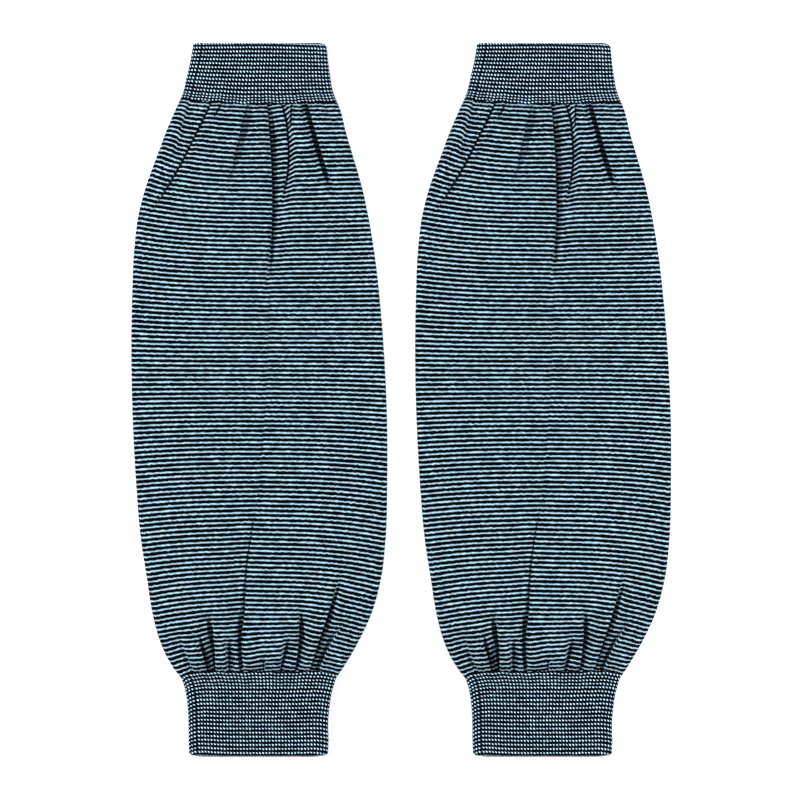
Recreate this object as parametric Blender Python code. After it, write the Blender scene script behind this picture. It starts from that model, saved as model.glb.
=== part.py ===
# Pair of striped knit sleeves, laid flat side by side: each is a full tube gathered into two ribbed cuffs.
# Metres, +Z up, +Y towards the upper cuffs. The origin is on the table, at the middle of the pair.
import math

import bmesh
import bpy
import numpy as np

MM = 0.001

# Driving sizes
SLEEVE_LENGTH = 420 * MM
PAIR_PITCH = 167.4 * MM  # between the axes of the two sleeves
LOWER_SEAM = 49.6 * MM  # cuff seams at the sleeve's axis, from the lower cuff's open end
UPPER_SEAM = 384.5 * MM
LOWER_SEAM_ENDS = (-3.8 * MM, -2.4 * MM)  # how far a seam's left and right ends lie above its middle
UPPER_SEAM_ENDS = (2.5 * MM, 0.3 * MM)
LOWER_SEAM_BEND = 10  # how late it bends on its way to the side folds
UPPER_SEAM_BEND = 2
BEND_FADE = 35 * MM  # the rows of knitting lie straight again this far from a seam
SEAM_GAP = 0.3 * MM

BODY_WALL = 1.2 * MM
CUFF_WALL = 2.0 * MM  # the rib is doubled, with its fold at the open end
CUFF_HEIGHT = 5.0 * MM
CREASE_FLOOR = 2.9 * MM  # height of the front where a crease presses it onto the back
LEAST_GAP = 0.4 * MM  # between the front and the back, inside a crease
STEEPEST_WALL = 3.0  # the wall is at most this many times its thickness, measured upright

RIBS = 42  # on the front of each cuff
RIB_RELIEF = 0.5 * MM
RIM_DEPTH = 1.2 * MM  # rounding of the folded end
RIM_INSET = 0.6 * MM

# Points round a section
BODY_COLUMNS = 50
CUFF_INSIDE_COLUMNS = 12
BACK_COLUMNS = 8
SIDE_STEPS = 3
SHARP_ANGLE = math.radians(40)

# Side folds of one sleeve: height above the lower end, then left and right of its axis, in millimetres
OUTLINE_COLUMNS = ("along", "left", "right")
OUTLINE = (
    (0.0, -40.9, 40.9),
    (8.0, -41.3, 41.3),
    (20.0, -41.4, 41.1),
    (29.0, -41.9, 42.0),
    (36.0, -42.8, 43.0),
    (41.0, -43.9, 44.4),
    (45.5, -46.3, 46.3),
    (50.0, -49.8, 49.4),
    (56.3, -53.6, 53.5),
    (68.0, -58.7, 60.0),
    (82.8, -62.4, 66.3),
    (103.5, -65.8, 72.1),
    (127.0, -69.4, 74.9),
    (162.0, -72.4, 75.9),
    (198.0, -74.3, 75.8),
    (233.0, -75.1, 74.3),
    (268.0, -74.7, 71.6),
    (298.0, -73.4, 68.1),
    (318.6, -70.9, 64.6),
    (336.3, -66.2, 60.7),
    (354.0, -60.3, 55.8),
    (368.7, -54.6, 51.8),
    (379.0, -50.5, 49.3),
    (386.0, -47.2, 46.6),
    (391.0, -45.0, 44.5),
    (398.2, -43.1, 42.9),
    (407.6, -40.9, 41.5),
    (420.0, -38.9, 40.2),
)

# How full the front stands between its creases, by distance from a cuff seam, in millimetres
SWELL_COLUMNS = ("from_seam", "height", "edge_height")
UPPER_SWELL = (
    (0, 5.0, 5.0),
    (6, 7.4, 5.0),
    (15, 8.9, 4.8),
    (28, 9.2, 4.6),
    (48, 7.8, 4.2),
    (76, 6.0, 3.9),
    (112, 4.6, 3.7),
    (170, 3.8, 3.6),
)
LOWER_SWELL = (
    (0, 5.0, 5.0),
    (5, 7.2, 5.0),
    (13, 8.8, 4.8),
    (24, 9.0, 4.6),
    (42, 7.6, 4.2),
    (68, 5.9, 3.9),
    (104, 4.6, 3.7),
    (170, 3.8, 3.6),
)

# Gathers on the front, in millimetres. A crease runs from the seam to its tip, bowed sideways at its middle.
# share is how much of the fullness it takes. lip is the side of its steep, overlapping edge: 1 right, -1 left.
# steep, floor and slack are the widths of that edge, of the crease's flat bottom and of its gentle side.
GATHER_COLUMNS = ("seam_x", "tip_x", "bow", "reach", "share", "lip", "steep", "floor", "slack")
UPPER_GATHERS = (
    (-39.4, -48.5, -1.0, 38, 0.50, -1, 2.6, 0.0, 3.8),
    (-28.6, -57.0, 2.0, 54, 0.90, -1, 1.4, 0.3, 5.0),
    (-21.5, -27.7, 0.0, 12, 0.55, -1, 1.4, 0.2, 3.0),
    (-6.8, -16.4, 0.2, 46, 0.72, -1, 1.3, 0.4, 8.5),
    (3.8, 4.4, 3.6, 94, 0.95, -1, 1.5, 1.2, 6.0),
    (12.6, 14.4, 2.5, 54, 0.90, -1, 1.3, 0.2, 2.6),
    (19.6, 20.6, -1.0, 22, 0.50, -1, 1.4, 0.2, 3.0),
    (30.4, 42.8, -0.4, 46, 0.95, 1, 1.4, 1.8, 3.0),
    (38.8, 46.5, 0.0, 16, 0.30, -1, 2.0, 0.0, 3.0),
)
LOWER_GATHERS = (
    (-38.6, -49.0, -1.0, 27, 0.55, 1, 2.6, 0.0, 4.5),
    (-30.4, -37.2, 0.0, 27, 0.80, -1, 1.4, 0.4, 3.4),
    (-24.6, -30.0, 0.8, 42, 0.85, 1, 1.4, 0.6, 3.0),
    (-17.8, -18.0, 0.0, 25, 0.62, -1, 1.4, 0.3, 2.8),
    (-6.6, -1.5, -1.7, 108, 0.96, 1, 1.4, 2.4, 5.0),
    (3.2, 3.4, 0.0, 8, 0.40, 1, 1.5, 0.0, 1.8),
    (12.5, 17.6, 0.6, 26, 0.66, -1, 1.5, 0.3, 3.0),
    (20.3, 23.8, 1.8, 44, 0.85, -1, 1.4, 0.4, 3.4),
    (28.4, 50.0, 0.2, 57, 0.92, -1, 1.5, 0.7, 4.2),
    (35.2, 56.0, -2.2, 38, 0.70, 1, 1.8, 0.0, 3.2),
)
ANCHOR_SHARE = 0.6  # creases at least this deep have a line of points along their bottom
LIP_RISE = 0.16  # an overlapping edge stands this much prouder than the fullness round it
LIP_WIDTH = 2.6 * MM
SEAM_DEPTH = 0.5  # share of its depth that a crease has where it is sewn into the cuff
SEAM_FADE = 7 * MM  # it reaches its full depth this far from the seam
CALM = 170 * MM  # the points stand evenly spaced again this far from a seam

# Sections of the body lie at these distances from each of its seams, in millimetres
SECTION_DISTANCES = (0, 4.5, 10, 17, 25, 35, 47, 62, 82, 108, 140)
# Outer sections of a cuff, and those of its plain inside, as shares of its length from the seam
CUFF_OUTSIDE_SHARES = (0.0, 0.1, 0.3)
CUFF_INSIDE_SHARES = (0.0, 0.4, 1.0)

FINISHES = {
    "striped_jersey": {"colour": (0.083, 0.130, 0.159), "roughness": 0.9},
    "striped_rib": {"colour": (0.075, 0.113, 0.136), "roughness": 0.92},
}


def column(table, columns, name):
    return np.array([row[columns.index(name)] for row in table], float) * MM


def smooth(at, places, values):
    """A curve through the values, with no corner at them."""
    slopes = np.gradient(values, places)
    i = np.clip(np.searchsorted(places, at) - 1, 0, len(places) - 2)
    step = places[i + 1] - places[i]
    t = np.clip((at - places[i]) / step, 0, 1)
    near = (1 + 2 * t) * (1 - t) ** 2 * values[i] + t * (1 - t) ** 2 * step * slopes[i]
    return near + t**2 * (3 - 2 * t) * values[i + 1] - t**2 * (1 - t) * step * slopes[i + 1]


def ease(t):
    t = np.clip(t, 0, 1)
    return t * t * (3 - 2 * t)


def sides(along):
    """Left and right side folds of a sleeve at a height above its lower end."""
    places = column(OUTLINE, OUTLINE_COLUMNS, "along")
    return [smooth(along, places, column(OUTLINE, OUTLINE_COLUMNS, side)) for side in ("left", "right")]


def swell(table, from_seam, name):
    return smooth(from_seam, column(table, SWELL_COLUMNS, "from_seam"), column(table, SWELL_COLUMNS, name))


def fullness(along, name):
    """Height of the front between its creases, or at its side folds, at one section."""
    upper = swell(UPPER_SWELL, UPPER_SEAM - along, name)
    lower = swell(LOWER_SWELL, along - LOWER_SEAM, name)
    return max(upper, lower)


def gather(row):
    return dict(zip(GATHER_COLUMNS, row))


def crease_place(fold, from_seam):
    """How far right of the sleeve's axis a crease lies, at a distance from its seam."""
    t = min(from_seam / (fold["reach"] * MM), 1.0)
    straight = fold["seam_x"] + (fold["tip_x"] - fold["seam_x"]) * t
    return (straight + 4 * fold["bow"] * t * (1 - t)) * MM


def crease_depth(fold, from_seam):
    """Share of the fullness that a crease takes: most near the seam, none past its tip."""
    fading = 1 - ease((from_seam / (fold["reach"] * MM) - 0.45) / 0.55)
    sewn = SEAM_DEPTH + (1 - SEAM_DEPTH) * ease(from_seam / SEAM_FADE)
    return fold["share"] * fading * sewn


def crease_profile(fold, offset):
    """1 along the crease's bottom, falling to 0 up its steep side and its slack side."""
    q = offset * fold["lip"] / MM
    up_lip = np.maximum(q, 0) / fold["steep"]
    up_slack = np.maximum(-q - fold["floor"], 0) / fold["slack"]
    return np.exp(-(up_lip**2) - up_slack**2)


def lip_profile(fold, offset):
    q = offset * fold["lip"] / LIP_WIDTH
    return np.exp(-((q - 1.3) ** 2))


def front_height(across, x, along):
    """Height of the front's outer face at one section. across runs from -1 to 1 between the side folds."""
    edge = fullness(along, "edge_height")
    crown = np.clip(1 - np.abs(across) ** 4, 0, 1) ** 0.8
    room = edge + (fullness(along, "height") - edge) * crown - CREASE_FLOOR
    for table, from_seam in ((UPPER_GATHERS, UPPER_SEAM - along), (LOWER_GATHERS, along - LOWER_SEAM)):
        for fold in map(gather, table):
            depth = crease_depth(fold, from_seam)
            offset = x - crease_place(fold, from_seam)
            room = room * (1 + LIP_RISE * depth * lip_profile(fold, offset) * crown)
            room = room * (1 - depth * crease_profile(fold, offset) * (1 - np.abs(across) ** 8))
    return CREASE_FLOOR + room


def column_places(along, middle, half):
    """Places of the front's points between the side folds, from -1 to 1, drawn along the deep creases."""
    even = np.linspace(-1, 1, BODY_COLUMNS)
    places = even.copy()
    for table, seam, from_seam in (
        (UPPER_GATHERS, UPPER_SEAM, UPPER_SEAM - along),
        (LOWER_GATHERS, LOWER_SEAM, along - LOWER_SEAM),
    ):
        held = 1 - ease(from_seam / CALM)
        if held <= 0:
            continue
        ranks, drawn = [0], [-1.0]
        for fold in map(gather, table):
            if fold["share"] < ANCHOR_SHARE:
                continue
            left, right = edges_of(seam)
            start = (2 * fold["seam_x"] * MM - left - right) / (right - left)
            ranks.append(round((start + 1) / 2 * (BODY_COLUMNS - 1)))
            drawn.append((crease_place(fold, from_seam) - middle) / half)
        ranks.append(BODY_COLUMNS - 1)
        drawn.append(1.0)
        pulled = np.interp(np.arange(BODY_COLUMNS), ranks, drawn)
        places += held * (pulled - even)
    return places


def seam_lift(across, along):
    """How far the rows of knitting are bent along the sleeve, as its two seams are."""
    lift = 0
    for seam, ends, bend in (
        (LOWER_SEAM, LOWER_SEAM_ENDS, LOWER_SEAM_BEND),
        (UPPER_SEAM, UPPER_SEAM_ENDS, UPPER_SEAM_BEND),
    ):
        held = 1 - ease(abs(along - seam) / BEND_FADE)
        lift = lift + held * np.where(across < 0, *ends) * np.abs(across) ** bend
    return lift


def edges_of(along):
    """Left and right side folds of the section whose middle is at this height."""
    return [float(sides(along + seam_lift(end, along))[side]) for side, end in enumerate((-1.0, 1.0))]


def section(along, across, top, bottom, edges, radius):
    """Points of one flattened ring: across the front, down the right fold, back along the back, up the left."""
    left, right = edges
    middle = (left + right) / 2
    flat_half = (right - left) / 2 - radius
    turn = np.linspace(math.pi / 2, -math.pi / 2, SIDE_STEPS + 2)[1:-1]
    height = (top[-1] + bottom) / 2
    rise = (top[-1] - bottom) / 2
    back = np.linspace(1, -1, BACK_COLUMNS)
    x = np.concatenate(
        [
            middle + across * flat_half,
            right - radius + radius * np.cos(turn),
            middle + back * flat_half,
            left + radius - radius * np.cos(turn),
        ]
    )
    z = np.concatenate(
        [top, height + rise * np.sin(turn), np.full(BACK_COLUMNS, bottom), height - rise * np.sin(turn)]
    )
    lift = seam_lift(np.clip((x - middle) / ((right - left) / 2), -1, 1), along)
    return np.stack([x, along + lift - SLEEVE_LENGTH / 2, z], axis=1)


def body_sections():
    """Outer and inner rings of the gathered tube, from the lower seam to the upper one."""
    distances = np.array(SECTION_DISTANCES) * MM
    places = [*(LOWER_SEAM + distances), *(UPPER_SEAM - distances[::-1])]
    outer, inner = [], []
    for along in places:
        edges = edges_of(along)
        middle, half = (edges[0] + edges[1]) / 2, (edges[1] - edges[0]) / 2
        radius = fullness(along, "edge_height") / 2
        across = column_places(along, middle, half - radius)
        x = middle + across * (half - radius)
        top = front_height(across, x, along)
        slope = np.gradient(top, x)
        upright = np.minimum(np.hypot(1, slope), STEEPEST_WALL) * BODY_WALL
        under = np.maximum(top - upright, BODY_WALL + LEAST_GAP)
        under[[0, -1]] = top[[0, -1]] - BODY_WALL
        clear = along
        if along == places[0]:
            clear = along + SEAM_GAP
        if along == places[-1]:
            clear = along - SEAM_GAP
        inner_edges = (edges[0] + BODY_WALL, edges[1] - BODY_WALL)
        outer.append(section(clear, across, top, 0.0, edges, radius))
        inner.append(section(clear, across, under, BODY_WALL, inner_edges, radius - BODY_WALL))
    return outer, inner


def rib_places():
    """Places across the front of each rib's crest and of each furrow beside it."""
    return np.linspace(-1, 1, 2 * RIBS + 1)


def cuff_sections(seam, end):
    """Outer and inner rings of a cuff, from its seam to its open end. The ribs stand out of the front."""
    ribs = rib_places()
    relief = np.where(np.arange(len(ribs)) % 2 == 1, RIB_RELIEF / 2, -RIB_RELIEF / 2)
    relief[[0, -1]] = 0
    radius = CUFF_HEIGHT / 2
    towards_end = math.copysign(1, end - seam)
    outer, inner = [], []
    for share in CUFF_OUTSIDE_SHARES:
        along = seam + share * (end - seam)
        edges = edges_of(along)
        outer.append(section(along, ribs, CUFF_HEIGHT + relief, 0.0, edges, radius))
    before_rim = end - towards_end * RIM_DEPTH
    edges = edges_of(before_rim)
    outer.append(section(before_rim, ribs, CUFF_HEIGHT + relief, 0.0, edges, radius))
    rim_edges = edges_of(end)
    rim_edges = (rim_edges[0] + RIM_INSET, rim_edges[1] - RIM_INSET)
    rim_top = CUFF_HEIGHT - RIM_INSET + relief / 2
    outer.append(section(end, ribs, rim_top, RIM_INSET, rim_edges, radius - RIM_INSET))
    plain = np.linspace(-1, 1, CUFF_INSIDE_COLUMNS)
    ceiling = np.full(CUFF_INSIDE_COLUMNS, CUFF_HEIGHT - CUFF_WALL)
    for share in CUFF_INSIDE_SHARES:
        along = seam + share * (end - seam)
        left, right = edges_of(along)
        inside = (left + CUFF_WALL, right - CUFF_WALL)
        inner.append(section(along, plain, ceiling, CUFF_WALL, inside, radius - CUFF_WALL))
    return outer, inner


def quarters(count):
    """How far round a ring each of its points stands: 0 to 1 on the front, 2 to 3 on the back, folds between."""
    front = count - BACK_COLUMNS - 2 * SIDE_STEPS
    fold = np.arange(1, SIDE_STEPS + 1) / (SIDE_STEPS + 1)
    return np.concatenate([np.linspace(0, 1, front), 1 + fold, np.linspace(2, 3, BACK_COLUMNS), 3 + fold, [4]])


def skin(bm, one, other):
    """Faces between two closed rings, which may have different numbers of points on the front."""
    one_round, other_round = quarters(len(one)), quarters(len(other))
    i, j = 0, 0
    while i < len(one) or j < len(other):
        a, b = one[i % len(one)], other[j % len(other)]
        next_a, next_b = one[(i + 1) % len(one)], other[(j + 1) % len(other)]
        ahead = one_round[min(i + 1, len(one))] - other_round[min(j + 1, len(other))]
        if abs(ahead) < 1e-6 and i < len(one) and j < len(other):
            bm.faces.new((a, next_a, next_b, b))
            i, j = i + 1, j + 1
        elif j == len(other) or (ahead < 0 and i < len(one)):
            bm.faces.new((a, next_a, b))
            i += 1
        else:
            bm.faces.new((a, next_b, b))
            j += 1


def tube(name, outer, inner):
    """A closed wall between its outer and inner rings, open through its middle."""
    bm = bmesh.new()
    outer_rings = [[bm.verts.new(point) for point in ring] for ring in outer]
    inner_rings = [[bm.verts.new(point) for point in ring] for ring in inner]
    for rings in (outer_rings, inner_rings):
        for ring, following in zip(rings, rings[1:]):
            skin(bm, ring, following)
    skin(bm, outer_rings[0], inner_rings[0])
    skin(bm, outer_rings[-1], inner_rings[-1])
    bmesh.ops.recalc_face_normals(bm, faces=bm.faces)
    mesh = bpy.data.meshes.new(name)
    bm.to_mesh(mesh)
    bm.free()
    mesh.shade_smooth()
    mesh.set_sharp_from_angle(angle=SHARP_ANGLE)
    return mesh


def finish(name):
    material = bpy.data.materials.new(name)
    material.use_nodes = True
    shader = material.node_tree.nodes["Principled BSDF"]
    shader.inputs["Base Color"].default_value = (*FINISHES[name]["colour"], 1)
    shader.inputs["Roughness"].default_value = FINISHES[name]["roughness"]
    shader.inputs["Metallic"].default_value = 0
    return material


def clear_scene():
    for obj in list(bpy.data.objects):
        bpy.data.objects.remove(obj)


def place(name, mesh, holder):
    obj = bpy.data.objects.new(name, mesh)
    bpy.context.scene.collection.objects.link(obj)
    obj.parent = holder


def main():
    clear_scene()
    pieces = {
        "body": tube("body", *body_sections()),
        "lower_cuff": tube("lower_cuff", *cuff_sections(LOWER_SEAM, 0.0)),
        "upper_cuff": tube("upper_cuff", *cuff_sections(UPPER_SEAM, SLEEVE_LENGTH)),
    }
    pieces["body"].materials.append(finish("striped_jersey"))
    rib = finish("striped_rib")
    pieces["lower_cuff"].materials.append(rib)
    pieces["upper_cuff"].materials.append(rib)
    widest = column(OUTLINE, OUTLINE_COLUMNS, "left").min() + column(OUTLINE, OUTLINE_COLUMNS, "right").max()
    for side, direction in (("left", -1), ("right", 1)):
        holder = bpy.data.objects.new(side + "_sleeve", None)
        bpy.context.scene.collection.objects.link(holder)
        holder.location.x = (direction * PAIR_PITCH - widest) / 2
        for piece, mesh in pieces.items():
            place(side + "_" + piece, mesh, holder)


main()
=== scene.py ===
import math

import bmesh
import bpy
import numpy as np
from mathutils import Matrix, Vector


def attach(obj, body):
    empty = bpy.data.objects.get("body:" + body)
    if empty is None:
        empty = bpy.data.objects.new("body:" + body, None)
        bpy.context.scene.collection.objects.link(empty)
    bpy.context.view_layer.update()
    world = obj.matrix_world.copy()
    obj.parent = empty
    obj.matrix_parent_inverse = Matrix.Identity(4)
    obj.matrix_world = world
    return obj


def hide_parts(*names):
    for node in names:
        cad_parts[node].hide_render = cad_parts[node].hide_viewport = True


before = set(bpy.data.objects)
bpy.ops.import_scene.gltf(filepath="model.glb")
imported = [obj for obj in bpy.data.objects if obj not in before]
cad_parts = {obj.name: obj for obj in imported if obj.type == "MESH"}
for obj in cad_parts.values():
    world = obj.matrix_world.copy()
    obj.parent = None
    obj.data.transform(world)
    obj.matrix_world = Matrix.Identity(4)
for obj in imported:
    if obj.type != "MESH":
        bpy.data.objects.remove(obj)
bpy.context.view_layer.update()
mm = 0.001  # lengths below are in millimetres where no note says otherwise

# Both sleeves are knitted alike and lie the same way. Along is measured up a sleeve from its lower end,
# x sideways from its axis, and across is -1 at its left fold and 1 at its right fold.
sleeve = {
    "length": 420,
    "pitch": 167.4,  # from one sleeve's axis to the other's
    "leftAxis": -84.1,
    "outline": (  # along, left fold, right fold
        (0, -40.9, 40.9),
        (8, -41.3, 41.3),
        (20, -41.4, 41.1),
        (29, -41.9, 42.0),
        (36, -42.8, 43.0),
        (41, -43.9, 44.4),
        (45.5, -45.7, 45.8),
        (50, -49.2, 48.8),
        (56.3, -53.2, 52.8),
        (68, -58.4, 59.4),
        (82.8, -62.4, 66.3),
        (103.5, -65.8, 72.1),
        (127, -69.4, 74.9),
        (162, -72.4, 75.9),
        (198, -74.3, 75.8),
        (233, -75.1, 74.3),
        (268, -74.7, 71.6),
        (298, -73.4, 68.1),
        (318.6, -70.9, 64.6),
        (336.3, -66.2, 60.7),
        (354, -59.7, 55.5),
        (368.7, -54.2, 51.2),
        (379, -49.8, 48.8),
        (386, -46.6, 46.1),
        (391, -44.6, 44.1),
        (398.2, -42.8, 42.6),
        (407.6, -40.6, 41.3),
        (420, -38.5, 40.1),
    ),
    # along at the left fold, the axis and the right fold, and how late the seam bends on its way to a fold
    "lowerSeam": (45.8, 49.6, 47.2, 10),
    "upperSeam": (387.0, 384.5, 384.8, 2),
    "seamFade": 35,  # how far from a seam its curve still shows
    "bakeMargin": 0.01,  # round the flat map, as a share of it
    "weld": 0.00001,  # metres between edges that are joined
}


def ease(t):
    t = np.clip(t, 0, 1)
    return t * t * (3 - 2 * t)


# A smooth curve through the rows of a table, held level past its ends
def tableCurve(table, at, column):
    table = np.array(table, float)
    places = table[:, 0]
    values = table[:, column]
    slopes = np.gradient(values, places)
    at = np.clip(at, places[0], places[-1])
    i = np.clip(np.searchsorted(places, at) - 1, 0, len(places) - 2)
    step = places[i + 1] - places[i]
    t = (at - places[i]) / step
    low = (1 + 2 * t) * (1 - t) ** 2 * values[i] + t * (1 - t) ** 2 * step * slopes[i]
    return low + t**2 * (3 - 2 * t) * values[i + 1] - t**2 * (1 - t) * step * slopes[i + 1]


# Along on a seam
def seamCurve(seam, across):
    left, middle, right, bend = seam
    return middle + np.where(across < 0, left - middle, right - middle) * np.abs(across) ** bend


# How far up the sleeve the rows of a piece stand from level
def rowLie(piece, at, across):
    lie = [tableCurve(piece["rowLie"], at, column) for column in (1, 2, 3)]
    return seamCurve(lie + [piece["rowBend"]], across)


# Slow unevenness between -1 and 1, the mean of waves that grow longer and run different ways
def unevenness(x, y, size, seed):
    waves = 5
    turnStep = 1.3
    growth = 0.37
    total = np.zeros_like(x)
    for k in range(waves):
        turn = seed + k * turnStep
        wave = 2 * math.pi / (size * (1 + growth * k))
        total += np.sin((x * math.cos(turn) + y * math.sin(turn)) * wave + seed * (k + 2))
    return total / waves


def foldPlaces(along):
    return tableCurve(sleeve["outline"], along, 1), tableCurve(sleeve["outline"], along, 2)


# A grid of quads, closed to a tube by joining its first and last columns, and to a ring by joining its first
# and last rows where they meet. The knit's own map counts wales and courses, and the flat one is for baking.
def makeTube(name, places, stitches):
    rows, columns = places.shape[:2]
    work = bmesh.new()
    bmesh.ops.create_grid(work, x_segments=columns - 1, y_segments=rows - 1, size=0.5)
    mesh = bpy.data.meshes.new(name)
    work.to_mesh(mesh)
    work.free()
    co = np.zeros(len(mesh.vertices) * 3)
    mesh.vertices.foreach_get("co", co)
    co = co.reshape(-1, 3)
    column = np.rint((co[:, 0] + 0.5) * (columns - 1)).astype(int)
    row = np.rint((co[:, 1] + 0.5) * (rows - 1)).astype(int)
    mesh.vertices.foreach_set("co", (places[row, column] * mm).ravel())
    corner = np.zeros(len(mesh.loops), int)
    mesh.loops.foreach_get("vertex_index", corner)
    knit = mesh.uv_layers.new(name="UVMap")
    knit.uv.foreach_set("vector", stitches[row, column][corner].astype(np.float32).ravel())
    flat = np.stack([column / (columns - 1), row / (rows - 1)], axis=1)
    flat = flat * (1 - 2 * sleeve["bakeMargin"]) + sleeve["bakeMargin"]
    bake = mesh.uv_layers.new(name="OFBake")
    bake.uv.foreach_set("vector", flat[corner].astype(np.float32).ravel())
    mesh.uv_layers.active = knit
    knit.active_render = True
    work = bmesh.new()
    work.from_mesh(mesh)
    edges = [v for v in work.verts if v.is_boundary]
    bmesh.ops.remove_doubles(work, verts=edges, dist=sleeve["weld"])
    for face in work.faces:
        face.smooth = True
    work.to_mesh(mesh)
    work.free()
    mesh.update()
    return mesh


# The gathered tube of striped single jersey
body = {
    "flat": (302, 341),  # round the tube, and between the seams
    "thickness": 0.7,
    "frontColumns": 316,
    "foldColumns": 6,
    "backColumns": 44,
    "rows": 120,
    "rowCrowding": 0.70,  # closeness of the mesh rows near the seams
    "tuckedIn": 1.6,  # goes on under the cuffs
    "wales": 318,
    "stripe": 2.725,  # two pale and two dark courses
    "coursesPerStripe": 4,
    "crown": (4, 0.8),  # powers of the curve from the crests down to the side folds
    "leastHollow": 0.3,  # between the walls
    "creaseFloor": 1.8,
    "creaseFade": 0.45,  # share of its reach past which a crease grows shallower
    "seamDepth": 0.94,  # of a crease at the seam, against its full depth
    "seamEase": 4.0,
    "lipRise": 0.20,
    "lipWidth": 2.4,
    "lipCrest": 1.3,  # how many lip widths from its crease a lip is highest
    "tuck": 2.6,  # how far a deep lip leans over its crease
    "tuckWidth": 3.0,
    "slipWidth": 6.0,
    "slotWall": 0.8,
    "backGroove": 1.0,  # depth of the same gathers on the underside
    "backEase": 6,  # how far from the seams they reach that depth
    "ripple": 0.30,
    "rippleSize": 26,
    "rippleSeed": 1.7,
    "pucker": 0.7,  # small gathers along the seams
    "puckerSize": 8,
    "puckerSeed": 2.9,
    "puckerFade": 8,
    "puckerRowFade": 6,
    "scallop": 0.45,  # waves that the ribs draw into the first rows
    "scallopFade": 1.6,
    "crowding": 1.2,  # how much closer to the seams the first rows lie
    "crowdingFade": 3,
    "upperSwell": (  # from the seam, height of the crests, of the side folds, and of the underside
        (-2, 3.3, 3.2, 1.3),
        (0, 4.3, 4.1, 1.0),
        (2.5, 6.4, 4.6, 0.5),
        (6, 7.9, 4.8, 0.1),
        (15, 9.0, 4.8, 0),
        (28, 9.2, 4.6, 0),
        (48, 7.8, 4.2, 0),
        (76, 6.0, 3.9, 0),
        (112, 4.6, 3.7, 0),
        (170, 3.8, 3.6, 0),
    ),
    "lowerSwell": (
        (-2, 3.3, 3.2, 1.3),
        (0, 4.3, 4.1, 1.0),
        (2.2, 6.2, 4.6, 0.5),
        (5, 7.7, 4.8, 0.1),
        (13, 8.9, 4.8, 0),
        (24, 9.0, 4.6, 0),
        (42, 7.6, 4.2, 0),
        (68, 5.9, 3.9, 0),
        (104, 4.6, 3.7, 0),
        (170, 3.8, 3.6, 0),
    ),
    # along, and how far up the sleeve the rows stand there at the left fold, the axis and the right fold
    "rowLie": (
        (50, -6.5, -2, -5),
        (75, -7, -2, -8.5),
        (120, -5, -1.5, -7),
        (180, -2, 0, -3),
        (240, 1, 0, -0.5),
        (300, 4.5, 0, 1),
        (350, 6, 0, 1),
        (386, 3.5, 0.5, 1),
    ),
    "rowBend": 2.6,  # how late they leave level on the way to a fold
}

# A crease runs from seamX at the seam to tipX at its tip, reach away, bowed sideways by bow at its middle.
# share is its depth, lip the side of its overlapping edge (1 right, -1 left), and steep, floor and slack the
# widths of its sides and bottom. dip is how much of its depth the slack side has, drag how far the rows hang
# back in it, slip how far they miss those past the lip, and spread how much wider it is at its tip.
gatherColumns = "seamX tipX bow reach share lip steep floor slack dip drag slip spread".split()
upperGathers = (
    (-39.4, -48.5, -1.0, 38, 0.5, -1, 2.2, 0.0, 3.8, 0.8, 1.5, -1.0, 1.0),
    (-28.6, -68.5, 1.2, 74, 0.95, -1, 0.8, 0.5, 4.0, 0.3, 1.5, 3.0, 0.3),
    (-21.5, -27.7, 0.0, 12, 0.6, -1, 1.1, 0.2, 3.0, 0.5, 0, 0, 0.5),
    (-6.8, -19.5, 0.2, 56, 0.62, -1, 0.8, 0.0, 8.0, 0.85, 1.5, 1.5, 1.0),
    (3.5, 0.8, 4.9, 130, 0.98, -1, 0.7, 1.1, 6.0, 0.4, 1.5, 0.5, 0.4),
    (12.3, 11.3, 4.7, 68, 0.98, -1, 0.7, 0.9, 2.6, 0.3, 2.5, 0, 0.2),
    (19.6, 20.6, -1.0, 22, 0.5, -1, 1.2, 0.2, 3.0, 0.6, -1.0, 0, 0.5),
    (25.3, 25.9, 0.0, 10, 0.45, -1, 1.0, 0.0, 2.2, 0.6, 0.5, 0, 0.5),
    (29.8, 49.0, -0.6, 66, 0.98, 1, 0.8, 2.2, 3.0, 0.45, -1.0, 0, 0.4),
    (3.8, -31.0, 16.0, 420, 0.5, -1, 1.6, 0.0, 8.0, 1.0, 0, 0.5, 0.6),
    (38.8, 46.5, 0.0, 16, 0.3, -1, 1.8, 0.0, 3.0, 1.0, 0.5, -0.5, 0.5),
)
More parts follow.
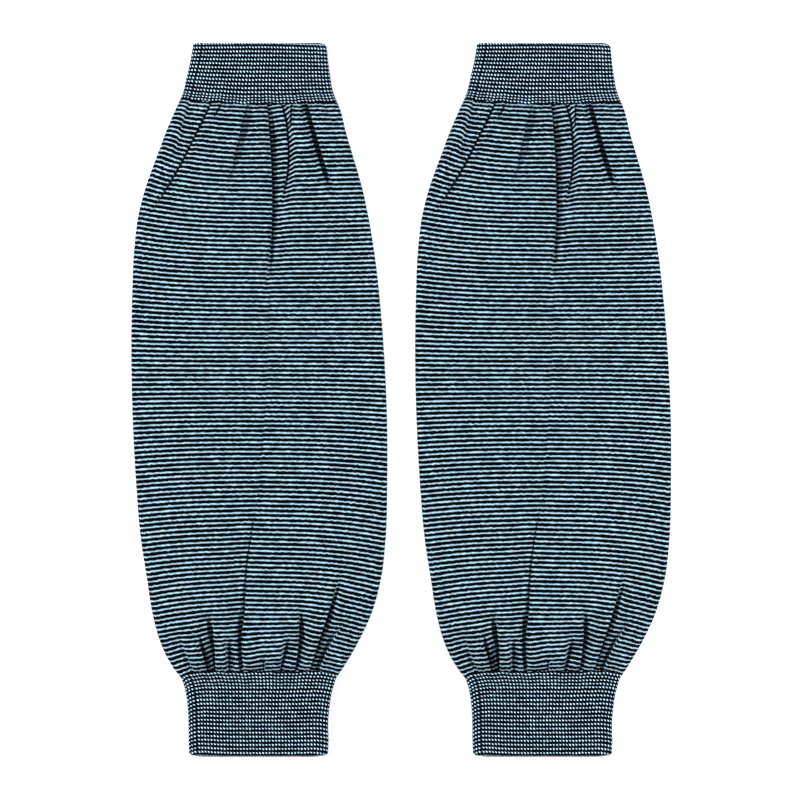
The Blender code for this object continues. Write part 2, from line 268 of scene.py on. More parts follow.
lowerGathers = (
    (-38.6, -49.0, -1.0, 27, 0.55, 1, 2.2, 0.0, 4.5, 0.8, 1.0, -1.0, 1.0),
    (-30.4, -37.2, 0.0, 27, 0.9, -1, 0.9, 0.5, 3.4, 0.4, 0, 0.5, 1.2),
    (-24.6, -30.0, 0.8, 42, 0.95, 1, 0.8, 0.8, 3.0, 0.5, 2.0, 2.0, 1.6),
    (-17.8, -18.0, 0.0, 25, 0.62, -1, 1.1, 0.3, 2.8, 0.6, 3.5, 2.5, 1.2),
    (-6.2, 8.0, -6.5, 135, 0.93, 1, 0.8, 0.6, 7.0, 0.62, 1.0, 0.5, 0.6),
    (-7.0, -8.5, 0.0, 38, 0.97, 1, 0.7, 3.2, 0.8, 0.95, 0, -1.5, 0.0),
    (-4.2, -6.5, 0.0, 30, 0.3, 1, 3.5, 0.0, 1.0, 1.0, -3.0, 0, 0.5),
    (3.2, 3.4, 0.0, 8, 0.45, 1, 1.2, 0.0, 1.8, 0.6, 0.5, 3.0, 0.5),
    (12.5, 17.6, 0.6, 26, 0.66, -1, 1.1, 0.3, 3.0, 0.5, 3.0, 1.5, 1.6),
    (20.3, 23.8, 1.8, 44, 0.96, -1, 0.7, 0.6, 3.0, 0.5, 2.0, 2.5, 1.6),
    (29.2, 52.5, -0.8, 66, 0.97, -1, 0.7, 0.9, 2.8, 0.5, 1.0, -1.0, 0.5),
    (35.2, 56.0, -2.2, 38, 0.7, 1, 1.2, 0.0, 3.2, 0.9, 2.5, 2.5, 0.8),
)


# What the creases of one seam do at a point: the share of the height that they leave, how much higher their
# lips stand, how far those lean, and how far the rows are dragged
def creases(rows, x, fromSeam):
    room = np.ones_like(x)
    rise = np.zeros_like(x)
    lean = np.zeros_like(x)
    drag = np.zeros_like(x)
    for row in rows:
        crease = dict(zip(gatherColumns, row))
        share = fromSeam / crease["reach"]
        t = np.clip(share, 0, 1)
        place = crease["seamX"] + (crease["tipX"] - crease["seamX"]) * t + 4 * crease["bow"] * t * (1 - t)
        depth = crease["share"] * (1 - ease((share - body["creaseFade"]) / (1 - body["creaseFade"])))
        depth = depth * (body["seamDepth"] + (1 - body["seamDepth"]) * ease(fromSeam / body["seamEase"]))
        toLip = (x - place) * crease["lip"] / (1 + crease["spread"] * t)
        lipSide = np.maximum(toLip, 0)
        slackSide = np.maximum(-toLip - crease["floor"], 0)
        wall = np.exp(-((lipSide / crease["steep"]) ** 2))
        slot = wall * np.exp(-((slackSide / body["slotWall"]) ** 2))
        slope = wall * np.exp(-((slackSide / crease["slack"]) ** 2))
        profile = np.maximum(slot, slope * crease["dip"])
        room = room * (1 - depth * profile)
        ridge = np.exp(-((toLip / body["lipWidth"] - body["lipCrest"]) ** 2))
        rise = rise + body["lipRise"] * depth * ridge
        over = np.where(toLip > 0, (1 - profile) * np.exp(-((toLip / body["tuckWidth"]) ** 2)), 0)
        lean = lean - crease["lip"] * body["tuck"] * depth * over
        edge = crease["steep"] / 2
        missed = np.exp(-(((toLip - edge) / body["slipWidth"]) ** 2)) / 2
        drag = drag + crease["drag"] * depth * slope
        drag = drag + crease["slip"] * depth * np.where(toLip > edge, missed, -missed)
    return room, rise, lean, drag


# The stations of a flattened tube's ring, from the middle of its back by way of its left fold: where it is
# across, how high between back and front, and how far round a side fold
def bodyRing():
    half = body["backColumns"] // 2
    turn = np.linspace(math.pi, 0, body["foldColumns"] + 1)[1:-1]
    leftBack = np.linspace(0, -1, half + 1)
    front = np.linspace(-1, 1, body["frontColumns"] + 1)
    folds = np.ones_like(turn)
    level = np.zeros_like(leftBack)
    climb = (1 + np.cos(turn)) / 2
    across = np.concatenate([leftBack, -folds, front, folds, -leftBack[::-1]])
    lift = np.concatenate([level, climb, np.ones_like(front), climb[::-1], level])
    bulge = np.concatenate([level, np.sin(turn), np.zeros_like(front), np.sin(turn), level])
    return across, lift, bulge


# For every vertex of the body its place across, along the sleeve, and from the lower and the upper seam
def bodyLevels():
    low = sleeve["lowerSeam"][1] - body["tuckedIn"]
    high = sleeve["upperSeam"][1] + body["tuckedIn"]
    share = np.linspace(0, 1, body["rows"] + 1)
    share = share - body["rowCrowding"] * np.sin(2 * math.pi * share) / (2 * math.pi)
    across, level = np.meshgrid(bodyRing()[0], low + share * (high - low))
    fromLower = level - sleeve["lowerSeam"][1]
    fromUpper = sleeve["upperSeam"][1] - level
    lowerCurve = seamCurve(sleeve["lowerSeam"], across) - sleeve["lowerSeam"][1]
    upperCurve = seamCurve(sleeve["upperSeam"], across) - sleeve["upperSeam"][1]
    along = level + lowerCurve * (1 - ease(fromLower / sleeve["seamFade"]))
    along = along + upperCurve * (1 - ease(fromUpper / sleeve["seamFade"]))
    return across, along, fromLower, fromUpper


# Heights of the crests, the side folds and the underside, each from its nearer seam
def bodySwell(fromLower, fromUpper):
    swell = []
    for column in (1, 2, 3):
        lower = tableCurve(body["lowerSwell"], fromLower, column)
        upper = tableCurve(body["upperSwell"], fromUpper, column)
        swell.append(np.where(fromLower < fromUpper, lower, upper))
    return swell


# For every vertex of the body x, along and z, and how far up the cloth it is, counted in mm of its rows from
# the lower seam
def bodyPlaces():
    across, along, fromLower, fromUpper = bodyLevels()
    near = np.minimum(fromLower, fromUpper)
    lift, bulge = (np.broadcast_to(part, across.shape) for part in bodyRing()[1:])
    left, right = foldPlaces(along)
    crest, fold, under = bodySwell(fromLower, fromUpper)
    radius = (fold - under) / 2
    x = across * (np.where(across < 0, -left, right) - radius) + np.sign(across) * bulge * radius
    lowerRoom, lowerRise, lowerLean, lowerDrag = creases(lowerGathers, x, fromLower)
    upperRoom, upperRise, upperLean, upperDrag = creases(upperGathers, x, fromUpper)
    room = lowerRoom * upperRoom
    crown = (1 - np.abs(across) ** body["crown"][0]) ** body["crown"][1]
    ripples = unevenness(x, along, body["rippleSize"], body["rippleSeed"])
    puckers = unevenness(x, 0, body["puckerSize"], body["puckerSeed"])

    full = fold + (crest - fold) * crown
    top = body["creaseFloor"] + (full - body["creaseFloor"]) * room * (1 + lowerRise + upperRise)
    top = top + body["ripple"] * crown * ripples
    top = top + body["pucker"] * crown * puckers * np.exp(-near / body["puckerFade"])
    top = np.maximum(top, under + 2 * body["thickness"] + body["leastHollow"])
    groove = body["backGroove"] * (1 - room)
    bottom = under + groove * ease(fromLower / body["backEase"]) * ease(fromUpper / body["backEase"])
    z = np.maximum(bottom + lift * (top - bottom), 0)

    height = along - sleeve["lowerSeam"][1] - rowLie(body, along, across)
    height = height + upperDrag * lift - lowerDrag * lift
    ribWaves = np.cos(math.pi * (cuff["ribs"] // 2) * (across + 1))
    scallop = body["scallop"] * ribWaves * np.exp(-near / body["scallopFade"])
    pucker = body["pucker"] * puckers * np.exp(-near / body["puckerRowFade"])
    crowding = body["crowding"] * np.exp(-near / body["crowdingFade"])
    crowding = crowding * np.where(fromLower < fromUpper, -1, 1)
    height = height + (scallop + pucker) * lift + crowding
    return x + (lowerLean + upperLean) * lift, along, z, height


# Wales by arc length: a quarter of them from the middle of the back to each side fold, half along the front
def countWales(x, z):
    step = np.hypot(np.diff(x, axis=1), np.diff(z, axis=1))
    run = np.concatenate([np.zeros((len(step), 1)), np.cumsum(step, axis=1)], axis=1)
    end = run.shape[1] - 1
    leftFold = body["backColumns"] // 2 + body["foldColumns"] // 2
    rightFold = end - leftFold
    wale = np.zeros_like(run)
    # the columns and the quarters of the count between which each stretch runs
    stretches = ((0, leftFold, 0, 1), (leftFold, rightFold, 1, 3), (rightFold, end, 3, 4))
    for start, stop, first, last in stretches:
        part = run[:, start : stop + 1]
        part = (part - part[:, :1]) / (part[:, -1:] - part[:, :1])
        wale[:, start : stop + 1] = body["wales"] / 4 * (first + (last - first) * part)
    return wale


def bodyMesh():
    x, along, z, height = bodyPlaces()
    places = np.stack([x, along - sleeve["length"] / 2, z], axis=2)
    courses = height * body["coursesPerStripe"] / body["stripe"]
    return makeTube("body", places, np.stack([countWales(x, z), courses], axis=2))


# The ribbed cuffs, each doubled with its fold at the open end
cuff = {
    "height": 5.2,
    "halfWidth": 43,  # about half of its width laid flat, for places across it
    "wall": 2.0,
    "overlap": 0.4,  # of its edge over the gathers
    "ribs": 90,  # all round
    "columnsPerRib": 6,
    "coursesPerRow": 4,
    "turnRows": 6,
    "insideRows": 8,
    "ribRound": 2.2,  # power of a rib's section
    "ribRelief": 0.60,
    "underRelief": 0.25,
    "beadRelief": 0.12,
    "slipFurrow": 26,  # the rib beside which one furrow lies wider and deeper
    "slipRelief": 0.5,
    "slipWidth": 0.45,  # in ribs
    "slipSpread": 0.5,
    "slipReach": 0.8,  # in ribs
    "ripple": 0.12,
    "rippleSize": 19,
    "rippleSeed": 3.1,
    "wave": 1.2,  # of the seam, where the gathers push it
    "waveSize": 9,
    "waveSeed": 2.9,
    "waveFade": 5,
    "lastRow": -0.5,  # where the count of rows stops past the seam
    "lower": {
        "flat": (180, 48),  # round it, and from seam to fold
        "rows": 110,
        "corners": (1.8, 1.8),
        "firstRow": 1.5,  # the first pale row, from the seam
        "closeRows": 4,  # that the seam draws closer together
        "closePitch": 2.0,
        "pitch": 2.4,
        "rowLie": ((3, 0, 0.3, 1), (20, 1.5, 0, 1.5), (47, 3, 0, 1)),  # as the body's, but from the seam
        "rowBend": 4,
    },
    "upper": {
        "flat": (180, 34),
        "rows": 80,
        "corners": (0.8, 3.2),
        "firstRow": 0.8,
        "closeRows": 2,
        "closePitch": 1.65,
        "pitch": 2.4,
        "rowLie": ((2, 0.5, 0, 1), (16, -1.3, 0, -0.4), (33, -3, 0, -1.5)),
        "rowBend": 2,
    },
}


# How far the corners of an open end are rounded in
def cornerInset(fromEnd, size):
    left = np.clip(size - fromEnd, 0, size)
    return size - np.sqrt(np.maximum(size**2 - left**2, 0))


# Points by arc length round a flattened ring, from the middle of its back by way of its left fold, with the
# way out of the cloth at each
def ringPlaces(around, left, right, radius):
    run = around * (2 * (left + right) - 4 * radius + 2 * math.pi * radius)
    leftFold = left - radius
    front = leftFold + math.pi * radius
    rightFold = front + left + right - 2 * radius
    leftTurn = np.clip((run - leftFold) / radius, 0, math.pi)
    rightTurn = np.clip((run - rightFold) / radius, 0, math.pi)
    flat = np.clip(run - front, 0, rightFold - front) - np.clip(run, 0, leftFold)
    flat = flat - np.clip(run - rightFold - math.pi * radius, 0, None)
    outX = np.sin(rightTurn) - np.sin(leftTurn)
    outZ = np.cos(rightTurn) - np.cos(leftTurn) - 1
    return flat + radius * outX, radius * outZ, outX, outZ


# Rows of the cuff, counted from the seam so that the pale ones are whole numbers
def rowNumber(fromSeam, own):
    close = (fromSeam - own["firstRow"]) / own["closePitch"]
    fromClose = fromSeam - own["firstRow"] - own["closeRows"] * own["closePitch"]
    return np.where(fromClose < 0, close, own["closeRows"] + fromClose / own["pitch"])


# A doubled cuff's section, up its outside, round one edge, down its inside and round the other edge: for
# each row of the mesh the share of the cuff's length, and in walls how far past its ends and into its cloth
def cuffSection(rows):
    outside = np.linspace(0, 1, rows + 1)
    inside = np.linspace(1, 0, cuff["insideRows"] + 1)
    turn = np.linspace(0, math.pi, cuff["turnRows"] + 1)[1:-1]
    still = np.zeros_like(turn)
    inward = (1 - np.cos(turn)) / 2
    outward = (1 + np.cos(turn)) / 2
    share = np.concatenate([outside, still + 1, inside, still, outside[:1]])
    past = np.concatenate([outside * 0, np.sin(turn), inside * 0, -np.sin(turn), outside[:1]]) / 2
    inset = np.concatenate([outside * 0, inward, inside * 0 + 1, outward, outside[:1]])
    return share, past, inset


# How far the ribs and their stitches stand out, or the furrows in
def cuffRelief(ribs, number, fromSlip, front):
    crest = 1 - np.abs(2 * (ribs % 1) - 1) ** cuff["ribRound"]
    relief = (crest - 1) * (cuff["underRelief"] + (cuff["ribRelief"] - cuff["underRelief"]) * front)
    relief = relief + cuff["beadRelief"] * np.cos(2 * math.pi * number) * crest * front
    return relief - cuff["slipRelief"] * np.exp(-((fromSlip / cuff["slipWidth"]) ** 2)) * front


def cuffMesh(end):
    own = cuff[end]
    wall = cuff["wall"]
    down = 1 if end == "lower" else -1  # whether the way from its seam to its open end is down the sleeve
    share, past, inset = cuffSection(own["rows"])
    around = np.linspace(0, 1, cuff["ribs"] * cuff["columnsPerRib"] + 1)
    around, share = np.meshgrid(around, share)
    past = np.broadcast_to(past[:, None], share.shape) * wall
    inset = np.broadcast_to(inset[:, None], share.shape) * wall

    halfWidth = cuff["halfWidth"]
    across = ringPlaces(around, halfWidth, halfWidth, cuff["height"] / 2)[0] / halfWidth
    seam = seamCurve(sleeve[end + "Seam"], across)
    wave = cuff["wave"] * unevenness(across * halfWidth, 0, cuff["waveSize"], cuff["waveSeed"])
    if end == "lower":
        low = wall / 2
        high = seam + cuff["overlap"] + wave - wall / 2
    else:
        low = seam - cuff["overlap"] + wave + wall / 2
        high = sleeve["length"] - wall / 2
    along = low + share * (high - low) + past
    fromEnd = along if end == "lower" else sleeve["length"] - along
    left, right = foldPlaces(along)
    left = -left - cornerInset(fromEnd, own["corners"][0]) - inset
    right = right - cornerInset(fromEnd, own["corners"][1]) - inset
    x, z, outX, outZ = ringPlaces(around, left, right, cuff["height"] / 2 - inset)
    front = (outZ + 1) / 2

    fromSeam = (seam - along) * down
    lie = rowLie(own, fromSeam, across)
    lie = lie + wave * np.exp(-np.maximum(fromSeam, 0) / cuff["waveFade"])
    number = np.maximum(rowNumber(fromSeam + lie * down, own), cuff["lastRow"])
    fromSlip = around * cuff["ribs"] - cuff["slipFurrow"]
    ribs = fromSlip * (1 - cuff["slipSpread"] * np.exp(-np.abs(fromSlip) / cuff["slipReach"]))
    ribs = cuff["slipFurrow"] + ribs
    relief = cuffRelief(ribs, number, fromSlip, front)
    ripples = unevenness(x, along, cuff["rippleSize"], cuff["rippleSeed"])
    relief = (relief + cuff["ripple"] * ripples * front) * (1 - inset / wall)
    x = x + outX * relief
    z = np.maximum(z + outZ * relief + cuff["height"] / 2, 0)
    places = np.stack([x, along - sleeve["length"] / 2, z], axis=2)
    courses = number * cuff["coursesPerRow"] * -down
    return makeTube(end + "_cuff", places, np.stack([ribs, courses], axis=2))


# The yarn of both knits, the shape of its loops, and how each knit lays them in rows of two colours
yarn = {
    "pale": (0.38, 0.585, 0.70, 1),
    "dark": (0.0003, 0.0004, 0.0008, 1),
    "bluer": (0.74, 0.85, 0.93, 1),  # tint of the pale yarn where the dye took better
    "roughness": 0.92,
    "shine": 0.02,
    "sheen": 0.008,
    "sheenRoughness": 0.5,
    "loopTones": (0.93, 1.07),  # from one loop to another
    "paintedShadeTones": (0.78, 1.08),  # painted shade, darker at the edge of a loop than at its crest
    "slow": {"scale": 22, "detail": 3, "tones": (0.95, 1.05)},  # from one part of a sleeve to another
    "blotches": {"scale": 420, "detail": 2, "tones": (0.60, 1.40)},  # over a stitch or two
    "dye": {"scale": 320, "detail": 1, "tones": (-0.7, 1.7)},  # how much of the bluer tint
    "legPlace": 0.5,  # of a loop's two legs, from the middle of its wale to its side
    "legFall": 3.4,  # how fast a leg falls away
    "wobble": {"scale": 0.5, "detail": 1},  # on the knit's own map
}
jerseyLook = {
    "bump": 0.16,  # how proud a loop stands
    "slant": 0.45,  # how many courses higher a loop is half a wale away from its point
    "point": 0.0,  # where it is lowest, from -1 at its left side to 1 at its right
    "wobble": 1.3,
    "stripeHalf": 0.122,  # half of a pale stripe, against a pale and a dark one together
    "stripeEdge": 8.5,  # sharpness
}
ribLook = {
    "bump": 0.18,
    "slant": 0.9,
    "point": 0.35,
    "wobble": 1.0,
    "rowShift": 0.62,  # brings the middle of a pale row to a whole number, with the slant taken up
    "rowHalf": 0.160,
    "rowEdge": 14.0,
    # the tops of the ribs, outside which the pale rows get painted shade
    "ribHalf": 0.46,
    "ribEdge": 3.6,
    "paleInFurrowShade": 0.11,  # how much of a pale row shows through the painted shade between the ribs
    "litTopPower": 2.0,
    "top": (0.68, 0.89, 0.97, 1),  # pale yarn on the tops of the ribs, as lit
    "side": (0.20, 0.48, 0.72, 1),  # and between them, darker and bluer as painted shade
}


def link(tree, source, target):
    tree.links.new(source, target)


# A maths node whose inputs are numbers or sockets
def calc(tree, operation, *inputs):
    node = tree.nodes.new("ShaderNodeMath")
    node.operation = operation
    for socket, value in zip(node.inputs, inputs):
        if isinstance(value, (int, float)):
            socket.default_value = value
        else:
            link(tree, value, socket)
    return node.outputs[0]


# A number between 0 and 1 stretched over a range
def stretched(tree, value, ends):
    return calc(tree, "MULTIPLY_ADD", value, ends[1] - ends[0], ends[0])


# 1 within half a width of a middle and least beyond it, with an edge between
def band(tree, fromMiddle, half, sharpness, least=0.0):
    inside = calc(tree, "MULTIPLY_ADD", calc(tree, "SUBTRACT", half, fromMiddle), sharpness, 0.5)
    return calc(tree, "MINIMUM", calc(tree, "MAXIMUM", inside, least), 1.0)


def clouds(tree, points, look):
    noise = tree.nodes.new("ShaderNodeTexNoise")
    noise.inputs["Scale"].default_value = look["scale"]
    noise.inputs["Detail"].default_value = look["detail"]
    link(tree, points, noise.inputs["Vector"])
    return noise


def colourMix(tree, blend="MIX"):
    mix = tree.nodes.new("ShaderNodeMix")
    mix.data_type = "RGBA"
    mix.blend_type = blend
    return mix


# A node group with named inputs and outputs, and the sockets at its two ends
def newGroup(name, inputs, outputs):
    group = bpy.data.node_groups.new(name, "ShaderNodeTree")
    for socketName, kind, value in inputs:
        socket = group.interface.new_socket(name=socketName, in_out="INPUT", socket_type=kind)
        socket.default_value = value
    for socketName, kind in outputs:
        group.interface.new_socket(name=socketName, in_out="OUTPUT", socket_type=kind)
    given = group.nodes.new("NodeGroupInput").outputs
    result = group.nodes.new("NodeGroupOutput").inputs
    return group, given, result


def useGroup(tree, group, **values):
    node = tree.nodes.new("ShaderNodeGroup")
    node.node_tree = group
    for name, value in values.items():
        node.inputs[name].default_value = value
    return node


# Loops of yarn on a knit's own map, one wale wide and one course high each
def knitGroup():
    group, given, result = newGroup(
        "knitted loops",
        (
            ("Stitches", "NodeSocketVector", (0, 0, 0)),
            ("Slant", "NodeSocketFloat", 0.5),
            ("Point", "NodeSocketFloat", 0.0),
            ("Wobble", "NodeSocketFloat", 1.0),
        ),
        (
            ("Height", "NodeSocketFloat"),
            ("Course", "NodeSocketFloat"),
            ("Side", "NodeSocketFloat"),
            ("Chance", "NodeSocketFloat"),
        ),
    )
    split = group.nodes.new("ShaderNodeSeparateXYZ")
    link(group, given["Stitches"], split.inputs[0])
    wale = calc(group, "FLOOR", split.outputs[0])
    side = calc(group, "MULTIPLY_ADD", calc(group, "FRACT", split.outputs[0]), 2.0, -1.0)
    fromPoint = calc(group, "ABSOLUTE", calc(group, "SUBTRACT", side, given["Point"]))
    course = calc(group, "SUBTRACT", split.outputs[1], calc(group, "MULTIPLY", fromPoint, given["Slant"]))
    rung = calc(group, "FLOOR", course)
    inCourse = calc(group, "MULTIPLY_ADD", calc(group, "FRACT", course), 2.0, -1.0)
    courseBulge = calc(group, "SUBTRACT", 1.0, calc(group, "POWER", calc(group, "ABSOLUTE", inCourse), 2.0))
    legOffset = calc(group, "SUBTRACT", calc(group, "ABSOLUTE", side), yarn["legPlace"])
    legFall = calc(group, "MULTIPLY", calc(group, "MULTIPLY", legOffset, legOffset), yarn["legFall"])
    legBulge = calc(group, "MAXIMUM", calc(group, "SUBTRACT", 1.0, legFall), 0.0)
    height = calc(group, "MULTIPLY", calc(group, "MAXIMUM", courseBulge, 0.0), legBulge)
    cell = group.nodes.new("ShaderNodeCombineXYZ")
    link(group, wale, cell.inputs[0])
    link(group, rung, cell.inputs[1])
    chance = group.nodes.new("ShaderNodeTexWhiteNoise")
    chance.noise_dimensions = "2D"
    link(group, cell.outputs[0], chance.inputs["Vector"])
    uneven = clouds(group, given["Stitches"], yarn["wobble"])
    uneven.noise_dimensions = "2D"
    wobble = calc(group, "MULTIPLY", calc(group, "SUBTRACT", uneven.outputs["Fac"], 0.5), given["Wobble"])
    link(group, height, result["Height"])
    link(group, calc(group, "ADD", course, wobble), result["Course"])
    link(group, side, result["Side"])
    link(group, chance.outputs["Value"], result["Chance"])
    return group


# The colour of the yarn, by the share of it that is pale, uneven as dyed cotton is, and with painted shade
# darkening each loop towards its edges
def yarnGroup():
    group, given, result = newGroup(
        "two yarns",
        (
            ("Pale share", "NodeSocketFloat", 0.5),
            ("Chance", "NodeSocketFloat", 0.5),
            ("Height", "NodeSocketFloat", 0.5),
            ("Pale yarn", "NodeSocketColor", yarn["pale"]),
            ("Dark yarn", "NodeSocketColor", yarn["dark"]),
        ),
        (("Colour", "NodeSocketColor"),),
    )
    where = group.nodes.new("ShaderNodeTexCoord").outputs["Object"]
    slow = clouds(group, where, yarn["slow"])
    blotches = clouds(group, where, yarn["blotches"])
    dye = clouds(group, where, yarn["dye"])
    dyed = colourMix(group, "MULTIPLY")
    link(group, stretched(group, dye.outputs["Fac"], yarn["dye"]["tones"]), dyed.inputs["Factor"])
    link(group, given["Pale yarn"], dyed.inputs["A"])
    dyed.inputs["B"].default_value = yarn["bluer"]
    blend = colourMix(group)
    link(group, given["Pale share"], blend.inputs["Factor"])
    link(group, given["Dark yarn"], blend.inputs["A"])
    link(group, dyed.outputs["Result"], blend.inputs["B"])
    loopTone = stretched(group, given["Chance"], yarn["loopTones"])
    slowTone = stretched(group, slow.outputs["Fac"], yarn["slow"]["tones"])
    # painted shade: darker where a loop's height falls towards its edge
    paintedShadeTone = stretched(group, given["Height"], yarn["paintedShadeTones"])
    blotchTone = stretched(group, blotches.outputs["Fac"], yarn["blotches"]["tones"])
    tone = calc(group, "MULTIPLY", loopTone, slowTone)
    tone = calc(group, "MULTIPLY", tone, calc(group, "MULTIPLY", paintedShadeTone, blotchTone))
    shade = group.nodes.new("ShaderNodeVectorMath")
    shade.operation = "SCALE"
    link(group, blend.outputs["Result"], shade.inputs[0])
    link(group, tone, shade.inputs["Scale"])
    link(group, shade.outputs[0], result["Colour"])
    return group


# A matt cloth with its loops raised: the material, its nodes, the knit's group and the yarns' group
def knitMaterial(name, look, loops, yarns):
    material = bpy.data.materials.new(name)
    material.use_nodes = True
    tree = material.node_tree
    shader = tree.nodes["Principled BSDF"]
    shader.inputs["Roughness"].default_value = yarn["roughness"]
    shader.inputs["Specular IOR Level"].default_value = yarn["shine"]
    shader.inputs["Sheen Weight"].default_value = yarn["sheen"]
    shader.inputs["Sheen Roughness"].default_value = yarn["sheenRoughness"]
    stitches = tree.nodes.new("ShaderNodeUVMap")
    stitches.uv_map = "UVMap"
    knit = useGroup(tree, loops, Slant=look["slant"], Point=look["point"], Wobble=look["wobble"])
    link(tree, stitches.outputs["UV"], knit.inputs["Stitches"])
    bump = tree.nodes.new("ShaderNodeBump")
    bump.inputs["Strength"].default_value = 1.0
    bump.inputs["Distance"].default_value = look["bump"] * mm
    link(tree, knit.outputs["Height"], bump.inputs["Height"])
    link(tree, bump.outputs["Normal"], shader.inputs["Normal"])
    colours = useGroup(tree, yarns)
    link(tree, knit.outputs["Chance"], colours.inputs["Chance"])
    # the loops' height also drives the painted shade in the yarns' group
    link(tree, knit.outputs["Height"], colours.inputs["Height"])
    link(tree, colours.outputs["Colour"], shader.inputs["Base Color"])
    return material, tree, knit, colours


def jerseyMaterial(loops, yarns):
    material, tree, knit, colours = knitMaterial("striped jersey", jerseyLook, loops, yarns)
    inStripe = calc(tree, "FRACT", calc(tree, "DIVIDE", knit.outputs["Course"], body["coursesPerStripe"]))
    fromMiddle = calc(tree, "ABSOLUTE", calc(tree, "SUBTRACT", inStripe, 0.5))
    pale = band(tree, fromMiddle, jerseyLook["stripeHalf"], jerseyLook["stripeEdge"])
    link(tree, pale, colours.inputs["Pale share"])
    return material


# Pale where the number of the row is whole, dark halfway to the next, and palest on the tops of the ribs,
# with painted shade darkening the pale yarn down their sides and in the furrows between them
def ribMaterial(loops, yarns):
    material, tree, knit, colours = knitMaterial("striped rib", ribLook, loops, yarns)
    row = calc(tree, "MULTIPLY_ADD", knit.outputs["Course"], 1 / cuff["coursesPerRow"], ribLook["rowShift"])
    fromMiddle = calc(tree, "ABSOLUTE", calc(tree, "SUBTRACT", calc(tree, "FRACT", row), 0.5))
    rowPale = band(tree, fromMiddle, ribLook["rowHalf"], ribLook["rowEdge"])
    fromCrest = calc(tree, "ABSOLUTE", knit.outputs["Side"])
    # painted shade: the pale row is mostly taken away in the furrows between the ribs
    unshadedRibShare = band(tree, fromCrest, ribLook["ribHalf"], ribLook["ribEdge"], ribLook["paleInFurrowShade"])
    dot = calc(tree, "MULTIPLY", rowPale, unshadedRibShare)
    # painted light and shade: the pale yarn is lit on the rib tops and shaded down their sides
    litAndShadedPale = colourMix(tree)
    link(tree, calc(tree, "POWER", dot, ribLook["litTopPower"]), litAndShadedPale.inputs["Factor"])
    litAndShadedPale.inputs["A"].default_value = ribLook["side"]
    litAndShadedPale.inputs["B"].default_value = ribLook["top"]
    link(tree, dot, colours.inputs["Pale share"])
    link(tree, litAndShadedPale.outputs["Result"], colours.inputs["Pale yarn"])
    return material


# A piece of one sleeve, with the sleeve's place in its mesh
def addPiece(name, mesh, axis, material):
    own = mesh.copy()
    own.name = name
    co = np.zeros(len(own.vertices) * 3)
    own.vertices.foreach_get("co", co)
    co[0::3] += axis * mm
    own.vertices.foreach_set("co", co)
    own.update()
    own.materials.append(material)
    piece = bpy.data.objects.new(name + "_cloth", own)
    bpy.context.scene.collection.objects.link(piece)
    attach(piece, "root")
    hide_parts(name)
    return piece


# The white ground that the sleeves lie on
paper = {
    "size": 3.0,  # metres from its middle to a side
    "drop": 0.2,  # below the cloth
    "roughness": 0.9,
    "shine": 0.1,
    "mottle": {"scale": 5, "detail": 2},
    "tones": (0.90, 0.93),
}


def addFloor():
    work = bmesh.new()
    bmesh.ops.create_grid(work, x_segments=1, y_segments=1, size=paper["size"])
    mesh = bpy.data.meshes.new("floor")
    work.to_mesh(mesh)
    work.free()
    mesh.transform(Matrix.Translation((0, 0, -paper["drop"] * mm)))
    floor = bpy.data.objects.new("floor", mesh)
    bpy.context.scene.collection.objects.link(floor)
    material = bpy.data.materials.new("pale paper")
    material.use_nodes = True
    tree = material.node_tree
    shader = tree.nodes["Principled BSDF"]
    shader.inputs["Roughness"].default_value = paper["roughness"]
    shader.inputs["Specular IOR Level"].default_value = paper["shine"]
    where = tree.nodes.new("ShaderNodeTexCoord")
    mottle = clouds(tree, where.outputs["Object"], paper["mottle"])
    ramp = tree.nodes.new("ShaderNodeValToRGB")
    for stop, tone in zip(ramp.color_ramp.elements, paper["tones"]):
        stop.color = (tone, tone, tone, 1)
    link(tree, mottle.outputs["Fac"], ramp.inputs["Fac"])
    link(tree, ramp.outputs["Color"], shader.inputs["Base Color"])
    mesh.materials.append(material)


# Straight above, and so far off that both sleeves are seen square on
view = {
    "place": (-0.69, -0.45),
    "distance": 2.6,  # metres
    "level": 3,  # height of what is in the middle of the view
    "width": 0.4716,  # metres that it takes in at that level
    "sensor": 36,
    "farthest": 20,  # metres
}


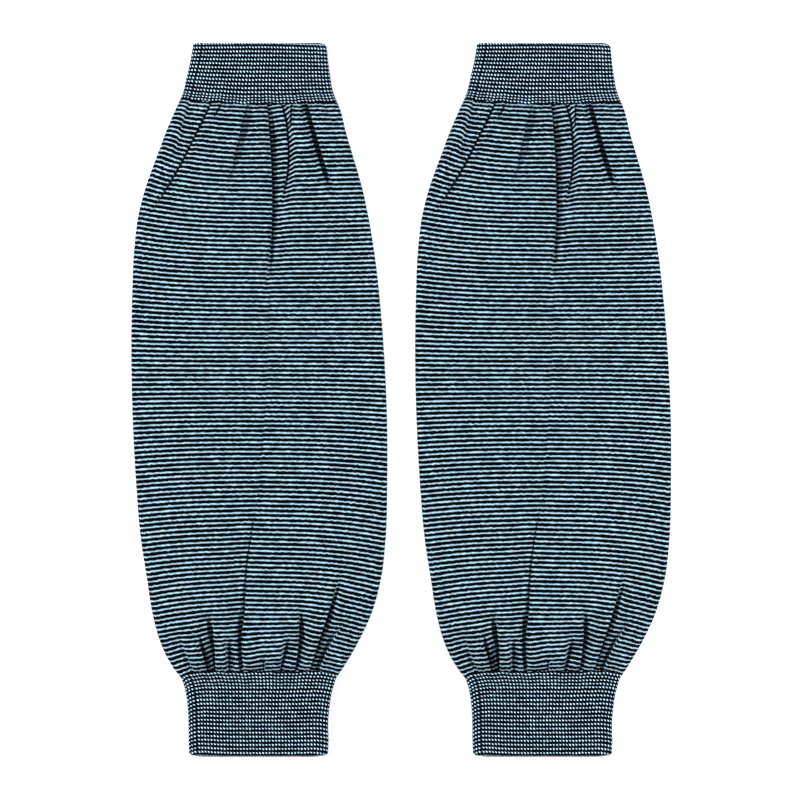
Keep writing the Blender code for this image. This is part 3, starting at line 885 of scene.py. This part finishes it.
def addCamera():
    data = bpy.data.cameras.new("camera")
    camera = bpy.data.objects.new("camera", data)
    bpy.context.scene.collection.objects.link(camera)
    data.sensor_width = view["sensor"]
    data.lens = view["sensor"] * view["distance"] / view["width"]
    data.clip_end = view["farthest"]
    x, y = view["place"]
    camera.location = (x * mm, y * mm, view["distance"] + view["level"] * mm)
    bpy.context.scene.camera = camera


studio = {
    "surroundings": 0.22,
    "lampSize": 0.4,  # metres, as are the lamps' places, and their power is in watts
    "lamps": (("left", (-1.5, 0.2, 1.1), 62), ("right", (1.5, 0.1, 1.1), 55)),
}


def addLight(name, place, power):
    data = bpy.data.lights.new(name, "AREA")
    data.shape = "DISK"
    data.size = studio["lampSize"]
    data.energy = power
    light = bpy.data.objects.new(name, data)
    bpy.context.scene.collection.objects.link(light)
    light.location = place
    light.rotation_euler = Vector(place).to_track_quat("Z", "Y").to_euler()
    light.visible_camera = False


def addLights():
    world = bpy.data.worlds.new("studio")
    world.use_nodes = True
    background = world.node_tree.nodes["Background"]
    background.inputs["Color"].default_value = (1, 1, 1, 1)
    background.inputs["Strength"].default_value = studio["surroundings"]
    bpy.context.scene.world = world
    for name, place, power in studio["lamps"]:
        addLight(name, place, power)
    bpy.context.scene.view_settings.view_transform = "Standard"


addFloor()
addCamera()
addLights()
print("floor, camera and lights are in place")

bodyShape = bodyMesh()
cuffShapes = {end: cuffMesh(end) for end in ("lower", "upper")}
print("body", len(bodyShape.polygons), "faces, cuffs", [len(m.polygons) for m in cuffShapes.values()])

loops = knitGroup()
yarns = yarnGroup()
jersey = jerseyMaterial(loops, yarns)
rib = ribMaterial(loops, yarns)
print("jersey and rib are ready")

for number, side in enumerate(("left", "right")):
    axis = sleeve["leftAxis"] + number * sleeve["pitch"]
    tube = addPiece(side + "_body", bodyShape, axis, jersey)
    wall = tube.modifiers.new("cloth", "SOLIDIFY")
    wall.thickness = body["thickness"] * mm
    wall.offset = -1
    for end, shape in cuffShapes.items():
        name = side + "_" + end + "_cuff"
        addPiece(name, shape, axis, rib)
    print(side, "sleeve is in place")
